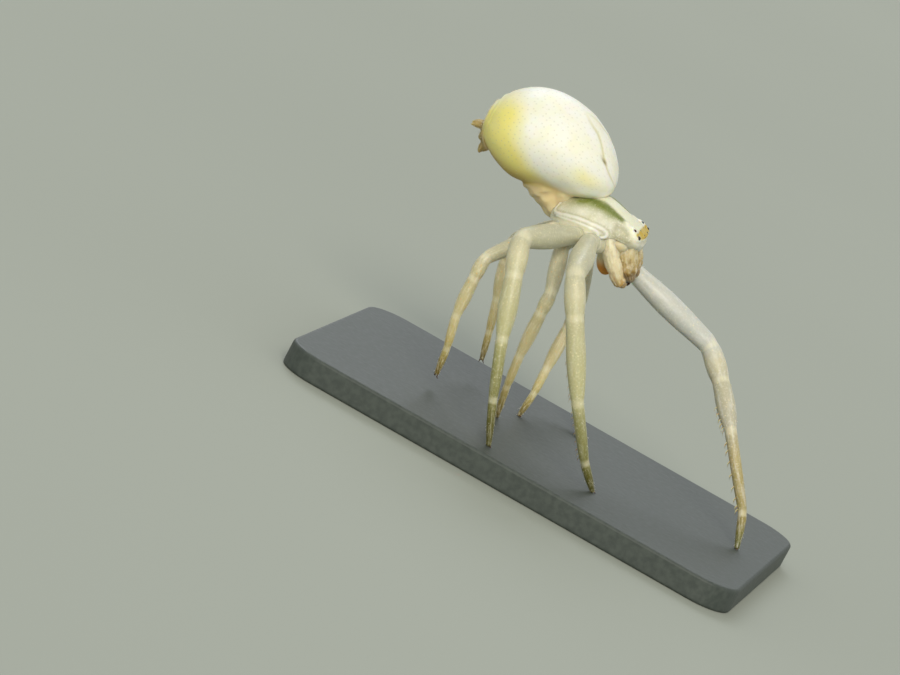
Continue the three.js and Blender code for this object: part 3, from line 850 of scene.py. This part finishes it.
paint(
    carapace, shell_places,
    green=green_band,
    deep=lambda t, degrees, point: bell(degrees - green_edge(t), -8, 7) * smooth(-0.5, -0.1, t)
    * smooth(0.62, 0.5, t),
    # The darker lines beside the outer white rim are painted shade in its grooves.
    seam=lambda t, degrees, point: rim_seams(point),
    white=lambda t, degrees, point: max(rim_lines(point)),
    wall=lambda t, degrees, point: wall_share(t, degrees),
    ridge=lambda t, degrees, point: near_eyes(point, 0.11) + near_line("ridge", point, 0.11),
    gold=gold_patch,
    median=lambda t, degrees, point: smooth(0, 6, degrees - green_edge(t)) * smooth(-0.3, 0.1, t),
    cheek=lambda t, degrees, point: smooth(0.34, 0.45, t) * smooth(50, 34, degrees)
    * smooth(0.95, 0.86, t),
)

# %% Carapace material
shell_cuticle, tree = new_material("clear_cuticle_carapace", **{**FLESH, "Subsurface_Scale": 0.18 * MM})
cloud, colour = mottled(tree, 3.2, [(0.3, "#d9d7bc"), (0.5, "#e2e0ca"), (0.72, "#ebeada")], detail=3.0)
broken = add(tree, "MapRange", {"Value": cloud, "From Min": 0.3, "From Max": 0.7, "To Min": 0.75, "To Max": 1.15})
# The darker colour by the outer white rim is painted shade in its grooves.
colour = lay_marks(tree, colour, [
    ("wall", "#ece8cc", 0.85), ("median", "#eaebcf", 0.85), ("cheek", "#bebb9c", 0.85),
    ("seam", "#aaa67c", 0.5), ("green", "#838d2e", 1.0), ("deep", "#66741c", 0.8),
    ("white", "#fbfbf3", 0.95), ("ridge", "#f9f6e2", 0.92), ("gold", "#c4a406", 0.97),
], ragged=dict.fromkeys(("green", "deep", "gold"), broken))
grains, bump = grained(tree, 17, 0.22, 0.012)
coloured = [add(tree, "Attribute", {"attribute_name": name}).outputs["Fac"] for name in ("green", "gold")]
most = add(tree, "Math", {"operation": "MAXIMUM", 0: coloured[0], 1: coloured[1]})
plain = add(tree, "MapRange", {"Value": most, "To Min": 1.0, "To Max": 0.2})
colour = lay_over(tree, colour, "#f8f5e6", grains, 0.5, 0.68, 0.45, plain)
connect(tree, Base_Color=colour, Normal=bump)
hand_over(carapace, shell_cuticle, "shell", "carapace")

# %% [markdown]
# ## Eyes
#
# Eight small lenses look out from the mounds: four at the sides on white mounds and four small
# ones in the middle. A spider's eye is a smooth bead of clear chitin over black, so each is a
# ball in near-black gloss, sunk well into its mound.

# %% Build the eyes
eye_lens, tree = new_material("black_eye_lens", Roughness=0.06, IOR=1.56, Coat_Weight=0.6,
                              Coat_Roughness=0.03)
connect(tree, Base_Color=mottled(tree, 9, [(0.35, "#0e0906"), (0.7, "#26150c")])[1])

for eye_name, (along, degrees, radius) in EYES.items():
    rise = EYE_SEATS[eye_name.split("_")[1]][0] * radius
    for hand, hand_name in ((1, "left"), (-1, "right")):
        deselect()
        bpy.ops.mesh.primitive_uv_sphere_add(segments=28, ring_count=18, radius=radius * EYE_SHARE,
                                             location=shell_point(along, degrees, hand, rise))
        bpy.ops.object.transform_apply(location=True)
        node = f"eye_{eye_name}_{hand_name}"
        hand_over(made(node.replace("eye", "lens")), eye_lens, "eye", node)

# %% [markdown]
# ## Breastplate and mouth plates
#
# Under the head part lie the breastplate, a small lip and two plates beside the mouth. Each is an
# egg of its own. A voxel remesh melts them into one skin, and a smoothing pass rounds the joins.

# %% Build the breastplate
UNDERSIDE = [((-0.1, 0, -0.42), (0.8, 0.46, 0.25)), ((0.56, 0, -0.6), (0.22, 0.15, 0.3)),
             ((0.5, 0.29, -0.88), (0.33, 0.22, 0.52)), ((0.5, -0.29, -0.88), (0.33, 0.22, 0.52)),
             ((-0.1, 0, -0.2), (1.2, 1.05, 0.22)), ((0.68, 0.52, -0.26), (0.5, 0.42, 0.28)),
             ((0.68, -0.52, -0.26), (0.5, 0.42, 0.28))]


def ball(name, centre, size):
    """A ball with three half-sizes of its own."""
    deselect()
    bpy.ops.mesh.primitive_uv_sphere_add(segments=40, ring_count=24, radius=1, location=centre,
                                         scale=size)
    bpy.ops.object.transform_apply(location=True, scale=True)
    return made(name)


breast = joined("breastplate", [ball("lump", centre, size) for centre, size in UNDERSIDE])
breast.data.transform(PROSOMA)
apply_modifier(breast, "REMESH", mode="VOXEL", voxel_size=0.035)
apply_modifier(breast, "SMOOTH", factor=0.5, iterations=8)

under_cuticle, tree = new_material("soft_cuticle_underside", **FLESH)
_, colour = mottled(tree, 2.6, [(0.3, "#d2bf92"), (0.5, "#dfd1aa"), (0.7, "#e8dfbe")], detail=3.0)
_, bump = grained(tree, 15, 0.25, 0.015)
connect(tree, Base_Color=lay_marks(tree, colour, [("amber", "#d48a22", 0.9)]), Normal=bump)
stained = [smooth(0.8, 1.2, -(PROSOMA_HOME @ v.co).z) for v in breast.data.vertices]
breast.data.attributes.new("amber", "FLOAT", "POINT").data.foreach_set("value", stained)
hand_over(breast, under_cuticle, "mouthparts", "sternum")

# %% [markdown]
# ## Jaws, fangs and feelers
#
# The jaws, or chelicerae, hang from the front of the head, each with a small dark fang folded in
# below. The feelers, or pedipalps, come down beside them, curl in and meet in front of the mouth.
# All are limbs again. Their cuticle is pinkish cream with fine streaks and an amber stain low down.

# %% Mouthpart measures
JAW = [(1.02, 0.36, -0.25), (1.12, 0.35, -0.8), (1.27, 0.31, -1.24)]
JAW_RADII = [(0.33, 0.34, 0.34), (0.34, 0.32, 0.2)]
FANG = [(1.3, 0.24, -1.4), (1.26, 0.15, -1.56), (1.12, 0.07, -1.62)]
FANG_RADII = [(0.075, 0.065, 0.05), (0.05, 0.035, 0.012)]
FEELER = [(0.52, 0.7, -0.12), (0.73, 0.82, -0.7), (0.9, 0.8, -1.06), (1.01, 0.7, -1.32),
          (1.17, 0.57, -1.47)]
FEELER_RADII = [(0.26, 0.29, 0.25), (0.25, 0.25, 0.23), (0.22, 0.22, 0.2), (0.2, 0.2, 0.12)]


def crumple(piece, fineness, depth, seed):
    """Lays soft folds along a soft piece, by a noise that is drawn out along its length."""
    rows = {}
    for face in piece.data.polygons:
        for corner, v in zip(face.loop_indices, face.vertices):
            rows[v] = piece.data.uv_layers["skin_map"].data[corner].uv.copy()
    for v in piece.data.vertices:
        turn = rows[v.index].x * math.tau
        place = Vector((math.cos(turn) * fineness, math.sin(turn) * fineness,
                        rows[v.index].y * 3 + seed))
        v.co += v.normal * depth * (noise.noise(place) + 0.5 * noise.noise(place * 2.3))


def in_prosoma(points, hand):
    return [PROSOMA @ Vector((x, y * hand, z)) for x, y, z in points]


# %% Mouthpart materials


def mouth_cuticle(name, stops, stain):
    """Soft cuticle in fine folds, whose colour changes along the limb and which is stained in places."""
    material, tree = new_material(name, **FLESH)
    map_ = add(tree, "UVMap", {"uv_map": "skin_map"})
    spot = add(tree, "TexCoord", {}).outputs["Object"]
    along = add(tree, "SeparateXYZ", {"Vector": map_}).outputs["Y"]
    colour = add(tree, "ValToRGB", {"Fac": along, "stops": stops})
    stretched = add(tree, "Mapping", {"Vector": map_, "Scale": (14.0, 3.0, 1.0)})
    streak = add(tree, "TexNoise", {"Vector": stretched, "Scale": 1.4, "Detail": 4.0})
    colour = lay_over(tree, colour, "#f5ecd4", streak, 0.42, 0.7, 0.6)
    blotch = add(tree, "TexNoise", {"Vector": spot, "Scale": 6.5 / MM, "Detail": 4.0, "Roughness": 0.7})
    colour = lay_over(tree, colour, "#94753a", blotch, 0.5, 0.68, stain)
    connect(tree, Base_Color=colour, Normal=grained(tree, 15, 0.4, 0.015)[1])
    return material


feeler_cuticle = mouth_cuticle("soft_cuticle_feelers", [
    (0.0, "#efe4c2"), (0.4, "#ecdfba"), (0.65, "#dfca98"), (0.85, "#c69f58"), (1.0, "#8f6a2c")], 0.3)
jaw_cuticle = mouth_cuticle("soft_cuticle_jaws", [
    (0.0, "#d8caa0"), (0.35, "#ccba88"), (0.65, "#bda772"), (0.85, "#9d8148"), (1.0, "#705427")], 0.7)

# %% Build the mouthparts
ahead = PROSOMA.to_3x3() @ Vector((1, 0, 0.2))
for hand, hand_name in ((1, "left"), (-1, "right")):
    jaw_rings = limb_rings(in_prosoma(JAW, hand), JAW_RADII, pinch=1)
    jaw = limb(f"jaw_{hand_name}", jaw_rings, 40, ahead)
    crumple(jaw, 2.2, 0.045, 3 * hand)
    crumple(jaw, 7, 0.02, 5 * hand)
    hand_over(jaw, jaw_cuticle, "jaw", f"chelicera_{hand_name}")
    fang_rings = limb_rings(in_prosoma(FANG, hand), FANG_RADII, pinch=1)
    fang = limb(f"fang_hook_{hand_name}", fang_rings, 12, ahead)
    hand_over(fang, tanned_chitin, "fang", f"fang_{hand_name}")
    rings = limb_rings(in_prosoma(FEELER, hand), FEELER_RADII, pinch=0.95)
    feeler = limb(f"feeler_{hand_name}", rings, 28, ahead)
    crumple(feeler, 2.2, 0.03, 7 * hand)
    hand_over(feeler, feeler_cuticle, "mouthparts", f"pedipalp_{hand_name}")
    roots = limb_roots(rings, 120, 0.08, HAIR_THICKNESS, 40 + hand, low=0.5, up=ahead)
    roots += limb_roots(jaw_rings, 70, 0.07, HAIR_THICKNESS, 50 + hand, low=0.4, up=ahead)
    hair_coat(f"mouth_hairs_{hand_name}", roots, clear_hair, "mouthparts")

# %% [markdown]
# ## Abdomen, waist and spinnerets
#
# The abdomen is a taut, swollen egg, stout behind, that overhangs the head part. Its belly runs
# down into a slim waist, and at the rear tip stand the spinnerets. One skin covers all of them:
# the egg, the waist and the spinnerets are joined, melted together by a voxel remesh and smoothed.

# %% Build the soft body
ABDOMEN_HALF_LENGTH = 2.26
ABDOMEN_BLUNTNESS = 2.2
WAIST = [(-1.2, 0, 6.3), (-1.6, 0, 6.47), (-1.95, 0, 6.88), (-2.3, 0, 7.3)]
WAIST_RADII = [(0.26, 0.3, 0.34), (0.38, 0.52, 0.66), (0.68, 0.78, 0.88)]
WAIST_LUMP = ((-1.5, 0, 6.95), (0.46, 0.55, 0.34))
SPINNING_FIELD = ((-2.0, 0, -0.62), (0.24, 0.36, 0.42))
# Root, middle and tip of the upper and the lower spinneret, and the radii of its two lengths.
SPINNERETS = [((-1.95, 0.1, -0.42), (-2.36, 0.12, -0.53), (-2.6, 0.12, -0.63),
               (0.17, 0.15, 0.13), (0.13, 0.12, 0.08)),
              ((-1.78, 0.13, -0.75), (-1.95, 0.14, -1.04), (-2.04, 0.15, -1.25),
               (0.22, 0.2, 0.17), (0.16, 0.15, 0.1))]
HOME_OF_ABDOMEN = ABDOMEN.inverted()


def off_the_egg(point):
    """How far a point stands out of the egg, in millimetres: waist and spinnerets do."""
    here = HOME_OF_ABDOMEN @ point
    t, _, turn = egg_place(abdomen_size, ABDOMEN_HALF_LENGTH, here)
    skin = egg_point(abdomen_size, ABDOMEN_HALF_LENGTH, ABDOMEN_BLUNTNESS, t, turn)
    beside = math.hypot(here.y, here.z) - math.hypot(skin.y, skin.z)
    return max(beside, abs(here.x) - ABDOMEN_HALF_LENGTH)


def crease_line(t):
    """Degrees up the side of the crease along the front of the back."""
    return mix(mix(92, 78, smooth(0.1, 0.45, t)), 44, smooth(0.45, 0.95, t))


def abdomen_relief(t, degrees, point):
    """Creases of the back, the fold over the waist and a slight unevenness."""
    line = crease_line(t)
    crease = -0.014 * bell(degrees, line, 3) * smooth(0.15, 0.6, t)
    pit = -0.05 * bell(degrees, 54, 5) * bell(t, 0.76, 0.06)
    second = -0.012 * bell(degrees, line + 16, 4) * smooth(0.5, 0.8, t)
    shoulder = -0.02 * bell(degrees, mix(-66, -18, smooth(0, 0.85, t)), 11) * smooth(-0.05, 0.2, t)
    outside = smooth(0.03, 0.12, off_the_egg(point))
    across = Vector((point.x * 2 + point.z * 2, point.y * 7, point.x * 2 - point.z))
    folds = 0.06 * outside * noise.noise(across)
    wrinkle = 0.012 * noise.noise(Vector((t * 5, degrees * 0.05, 3)))
    rear = 0.03 * math.sin(t * 90) * smooth(-0.82, -0.95, t)
    return crease + pit + second + shoulder + wrinkle + rear + folds


egg_skin = egg("abdomen_egg", 120, 84, abdomen_size, ABDOMEN_HALF_LENGTH, ABDOMEN_BLUNTNESS, ABDOMEN)
lumps = [egg_skin, limb("waist", limb_rings(WAIST, WAIST_RADII, pinch=1), 32)]
lumps.append(ball("waist_lump", *WAIST_LUMP))
lumps.append(ball("spinning_field", ABDOMEN @ Vector(SPINNING_FIELD[0]), SPINNING_FIELD[1]))
for root, middle, tip, first, second in SPINNERETS:
    for hand in (1, -1):
        joints = [ABDOMEN @ Vector((x, y * hand, z)) for x, y, z in (root, middle, tip)]
        lumps.append(limb("spinneret", limb_rings(joints, [first, second], pinch=0.93), 20))
soft_body = joined("soft_body", lumps)
apply_modifier(soft_body, "REMESH", mode="VOXEL", voxel_size=0.04)
apply_modifier(soft_body, "SMOOTH", factor=0.5, iterations=6)
body_places = places_on(soft_body, abdomen_size, ABDOMEN_HALF_LENGTH, ABDOMEN)
push(soft_body, body_places, abdomen_relief)
body_places = places_on(soft_body, abdomen_size, ABDOMEN_HALF_LENGTH, ABDOMEN)
map_egg(soft_body, body_places)
print("soft body faces:", len(soft_body.data.polygons))

# %% [markdown]
# ### Markings of the abdomen
#
# White guanine under the clear skin makes the back chalk white. Where it is thin the yellow of the
# flesh shows, at the rear, low on the flanks and in a patch near the front, and beneath it turns
# amber, partly the flesh's own colour and partly painted shade. Waist and spinnerets have none of the
# guanine and look pinkish brown. Small grey dots, the sockets of short hairs, stand in even rows 0.2 mm apart.

# %% Paint the abdomen
def yellow(t, degrees, point):
    border = -0.3 - (0.013 if degrees < 0 else 0.0045) * degrees
    rear = smooth(0.16, -0.24, t - border) * mix(0.55, 1, smooth(70, 30, degrees))
    patch = 0.5 * bell(t, 0.68, 0.16) * bell(degrees, 2, 16)
    return rear + patch + 0.14 * noise.noise(point * 1.7)


paint(
    soft_body, body_places,
    yellow=yellow,
    # The amber low on the rear underside is partly the flesh's own colour and partly painted shade.
    amber=lambda t, degrees, point: smooth(-28, -62, degrees) * smooth(0.15, -0.25, t)
    * smooth(-0.98, -0.8, t),
    bare=lambda t, degrees, point: max(
        smooth(0.03, 0.12, off_the_egg(point)), 0.7 * smooth(-0.93, -0.98, t),
        0.8 * smooth(-30, -60, degrees) * smooth(-0.1, 0.15, t)),
    brown=lambda t, degrees, point: smooth(0.05, 0.2, off_the_egg(point)) * smooth(-0.75, -0.85, t),
    # The crease and the pit of the relief are darkened here as painted shade.
    crease=lambda t, degrees, point: bell(degrees, crease_line(t), 3.2) * smooth(0.1, 0.5, t),
    pit=lambda t, degrees, point: bell(degrees, 54, 3.5) * bell(t, 0.76, 0.045),
    dotted=lambda t, degrees, point: smooth(-0.93, -0.75, t) * smooth(0.97, 0.85, t)
    * smooth(-40, -15, degrees),
)

# %% Abdomen material
DOT_SPACING = 0.2
ABDOMEN_RADIUS = 1.55
body_cuticle, tree = new_material("clear_cuticle_over_guanine", **{**FLESH, "Roughness": 0.5},
                                  Specular_IOR_Level=0.3)
map_ = add(tree, "UVMap", {"uv_map": "skin_map"})
_, colour = mottled(tree, 1.5, [(0.3, "#f6f4de"), (0.5, "#f8f7ea"), (0.7, "#f9f9f2")], detail=3.0)
# The amber laid here is partly the flesh's own colour and partly painted shade.
colour = lay_marks(tree, colour, [
    # The crease and pit colours laid here are painted shade.
    ("yellow", "#fdeb7e", 0.88), ("amber", "#a67c1e", 0.85), ("crease", "#c9c48a", 0.6),
    ("pit", "#8d8052", 0.85), ("bare", "#efd9ae", 0.9), ("brown", "#8f7c3e", 0.75)])
dots_round = math.tau * ABDOMEN_RADIUS / DOT_SPACING
dots_along = 2 * ABDOMEN_HALF_LENGTH / DOT_SPACING
rows = add(tree, "Mapping", {"Vector": map_, "Scale": (dots_round, dots_along, 1.0), "Rotation": (0, 0, 0.4)})
cells = add(tree, "TexVoronoi", {"Vector": rows, "Scale": 1.0, "Randomness": 0.55,
                                 "voronoi_dimensions": "2D"})
dotted = add(tree, "Attribute", {"attribute_name": "dotted"}).outputs["Fac"]
colour = lay_over(tree, colour, "#b9b6a4", cells, 0.17, 0.08, 0.26, dotted)
connect(tree, Base_Color=colour, Normal=grained(tree, 12, 0.2, 0.015)[1])
soft_nodes = ["abdomen", "pedicel"]
soft_nodes += [f"spinneret_{row}_{hand}" for row in ("upper", "lower") for hand in ("left", "right")]
hand_over(soft_body, body_cuticle, "abdomen", *soft_nodes)

# %% [markdown]
# ### Hairs of the body
#
# The same short hairs stand on the abdomen and the carapace, sparser than on the legs and leaning
# back. All roots sit on the finished skins. Those of the abdomen are drawn from its faces, because a
# voxel remesh always numbers its faces in the same order. A UV sphere doesn't, so on the carapace a
# root is drawn by its place on the bare shell and then set on the nearest vertex of the skin.

# %% Hairs of abdomen and carapace


def body_roots(piece, places, count, length, seed, backward, fits):
    """Roots on random faces of a finished skin, which lie backwards along it."""
    dice = random.Random(seed)
    mesh = piece.data
    faces = [face for face in mesh.polygons if fits(*places[face.vertices[0]][:2])]
    roots = []
    for face in dice.choices(faces, [face.area for face in faces], k=count):
        t, _, turn = places[face.vertices[0]]
        out = face.normal.copy()
        lie = (backward - out * backward.dot(out)).normalized()
        base = Vector(face.center) / MM - HOME - out * 0.01
        spot = ((turn / math.tau + 0.75) % 1, (t + 1) / 2)
        roots.append((base, out, lie, length * dice.uniform(0.6, 1.3), HAIR_THICKNESS, spot))
    return roots


to_rear = ABDOMEN.to_3x3() @ Vector((-1, 0, 0))
roots = body_roots(soft_body, body_places, 420, 0.07, 7, to_rear, lambda t, degrees: t > -0.96)
roots += body_roots(soft_body, body_places, 110, 0.1, 8, to_rear, lambda t, degrees: t < -0.93)
hair_coat("abdomen_hairs", roots, clear_hair, "abdomen")


def shell_roots(count, length, seed):
    """Roots strewn over the carapace, drawn by place and not by face."""
    dice = random.Random(seed)
    skin = carapace.data.vertices
    tree = KDTree(len(skin))
    for v in skin:
        tree.insert(v.co, v.index)
    tree.balance()
    roots = []
    for _ in range(count):
        t, degrees = dice.uniform(-0.95, 0.75), dice.uniform(-20, 88)
        hand, size = dice.choice((1, -1)), length * dice.uniform(0.6, 1.3)
        place, nearest, _ = tree.find((shell_point(t, degrees, hand) + HOME) * MM)
        out = skin[nearest].normal.copy()
        lie = (to_rear - out * to_rear.dot(out)).normalized()
        turn = math.radians(degrees if hand > 0 else 180 - degrees)
        spot = ((turn / math.tau + 0.75) % 1, (t + 1) / 2)
        roots.append((place / MM - HOME - out * 0.01, out, lie, size, HAIR_THICKNESS, spot))
    return roots


hair_coat("carapace_hairs", shell_roots(140, 0.07, 9), clear_hair, "shell")

# %% [markdown]
# ## Display base
#
# The base is a small plate with rounded corners and a fine chamfer all round. A cube is set to its
# size, and two bevels do the rest: a wide one on the four upright edges and a fine one on the rims.

# %% Build the base
BASE = (15.4, 12.0, 0.8)
BASE_CORNER = 1.2
BASE_CHAMFER = 0.09


def bevel_edges(piece, chosen, width, segments):
    """Bevels the edges that chosen picks by their two ends."""
    choose(piece)
    bpy.ops.object.mode_set(mode="EDIT")
    bpy.ops.mesh.select_mode(type="EDGE")
    bpy.ops.mesh.select_all(action="DESELECT")
    mesh = bmesh.from_edit_mesh(piece.data)
    for edge in mesh.edges:
        edge.select_set(chosen(*[v.co for v in edge.verts]))
    bmesh.update_edit_mesh(piece.data)
    bpy.ops.mesh.bevel(offset=width, segments=segments, affect="EDGES")
    bpy.ops.object.mode_set(mode="OBJECT")


deselect()
bpy.ops.mesh.primitive_cube_add(size=1, location=(-HOME.x, -HOME.y, -BASE[2] / 2), scale=BASE)
bpy.ops.object.transform_apply(location=True, scale=True)
base = made("display_base")
bevel_edges(base, lambda a, b: abs(a.z - b.z) > 0.5, BASE_CORNER, 12)
bevel_edges(base, lambda a, b: abs(a.z - b.z) < 0.01, BASE_CHAMFER, 3)

# %% Base material
# Acrylic with a satin paint, whose fine peel breaks up the light a little.
base_paint, tree = new_material("satin_painted_acrylic", Roughness=0.55, IOR=1.5)
peel, speck = mottled(tree, 5.2, [(0.35, "#3f4642"), (0.65, "#4b524d")])
rough = add(tree, "MapRange", {"Value": peel, "From Min": 0.3, "From Max": 0.7, "To Min": 0.48, "To Max": 0.62})
bump = add(tree, "Bump", {"Height": peel, "Strength": 0.3, "Distance": 0.02 * MM})
connect(tree, Base_Color=speck, Roughness=rough, Normal=bump)
hand_over(base, base_paint, "base", "stand_base")
base.data.polygons.foreach_set("use_smooth", [False] * len(base.data.polygons))

# %% [markdown]
# ## Studio
#
# A wide pale floor reaches past the picture's edge from every side. Three soft suns, which light
# near and far alike, and a pale surround do the rest: the main light comes from a little above the
# camera, a weaker one from a little below it lifts the shadows, and one from behind picks out the
# edges of the clear legs.

# %% Floor and light
FLOOR_RADIUS = 4

deselect()
bpy.ops.mesh.primitive_circle_add(vertices=96, radius=FLOOR_RADIUS, fill_type="NGON")
floor = made("floor")
floor_paint, tree = new_material("matt_floor", Roughness=0.9)
connect(tree, Base_Color=mottled(tree, 0.012, [(0.3, "#a3a89e"), (0.7, "#a8ada3")])[1])
floor.data.materials.append(floor_paint)


def sun(name, toward, energy, spread, swatch):
    """A sun that shines from a direction, given as the way towards it."""
    deselect()
    bpy.ops.object.light_add(type="SUN")
    light = bpy.context.object
    light.name = name
    light.rotation_euler = Vector(toward).to_track_quat("Z", "Y").to_euler()
    light.data.energy = energy
    light.data.angle = math.radians(spread)
    light.data.color = linear(swatch)[:3]


sun("main_light", 0.25 * right + 0.36 * up + back, 1.82, 22, "#fff8ea")
sun("fill_light", back - 0.35 * up, 0.7, 40, "#fffdf4")
sun("edge_light", Vector((-0.4, 0.9, 0.75)), 0.9, 30, "#f2f6ff")
world = bpy.data.worlds.new("surround")
bpy.context.scene.world = world
world.use_nodes = True
world.node_tree.nodes["Background"].inputs["Color"].default_value = linear("#dfe3e0")
world.node_tree.nodes["Background"].inputs["Strength"].default_value = 0.62
bpy.context.scene.view_settings.view_transform = "Standard"
